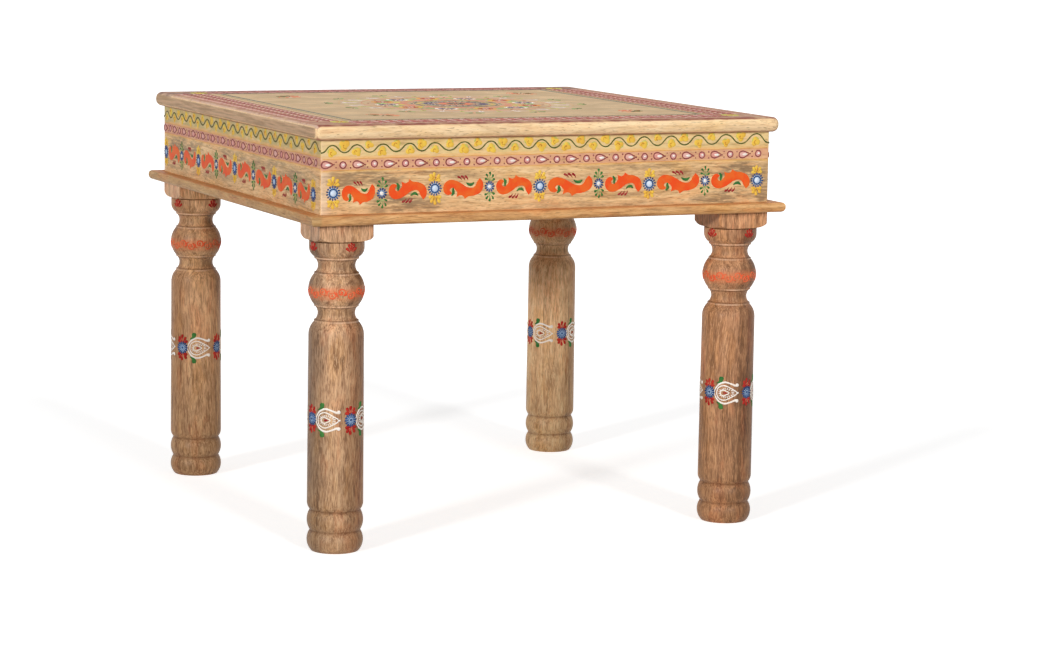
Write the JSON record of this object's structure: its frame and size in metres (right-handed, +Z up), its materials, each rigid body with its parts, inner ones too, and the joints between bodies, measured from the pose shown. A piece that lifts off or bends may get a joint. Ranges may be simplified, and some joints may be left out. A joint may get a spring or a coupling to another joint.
{
  "type": "bajot low table",
  "caption": "Low square table in solid wood with a painted top and apron, a mitred base moulding and turned legs held by hanger bolts.",
  "frame": {"origin": "on the floor under the middle of the table", "axes": "+X to the right along the front apron, +Y from the front to the back, +Z up out of the tabletop"},
  "size_m": [0.612, 0.612, 0.5],
  "materials": {
    "top_wood": "satin",
    "apron_wood": "satin",
    "moulding_wood": "satin",
    "leg_wood": "satin",
    "inner_wood": "matte",
    "steel": "satin",
    "orange_paint": "satin",
    "red_paint": "satin",
    "pink_paint": "satin",
    "blue_paint": "satin",
    "pale_blue_paint": "satin",
    "green_paint": "satin",
    "yellow_paint": "satin",
    "white_paint": "satin"
  },
  "bodies": {
    "root": {"top_board_1": "top_wood", "top_board_2": "top_wood", "top_board_3": "top_wood", "top_board_4": "top_wood", "top_board_5": "top_wood", "apron_front": "apron_wood", "apron_right": "apron_wood", "apron_back": "apron_wood", "apron_left": "apron_wood", "base_rail_front": "moulding_wood", "base_rail_right": "moulding_wood", "base_rail_back": "moulding_wood", "base_rail_left": "moulding_wood", "top_cleat_front": "inner_wood", "top_cleat_right": "inner_wood", "top_cleat_back": "inner_wood", "top_cleat_left": "inner_wood", "leg_front_left": "leg_wood", "leg_front_right": "leg_wood", "leg_back_right": "leg_wood", "leg_back_left": "leg_wood", "corner_block_front_left": "inner_wood", "corner_block_front_right": "inner_wood", "corner_block_back_right": "inner_wood", "corner_block_back_left": "inner_wood", "apron_mitre_splines": "inner_wood", "leg_hanger_bolts": "steel", "leg_bolt_washers": "steel", "leg_bolt_nuts": "steel", "base_rail_screws": "steel", "top_cleat_screws": "steel", "corner_block_screws": "steel"}
  },
  "joints": []
}
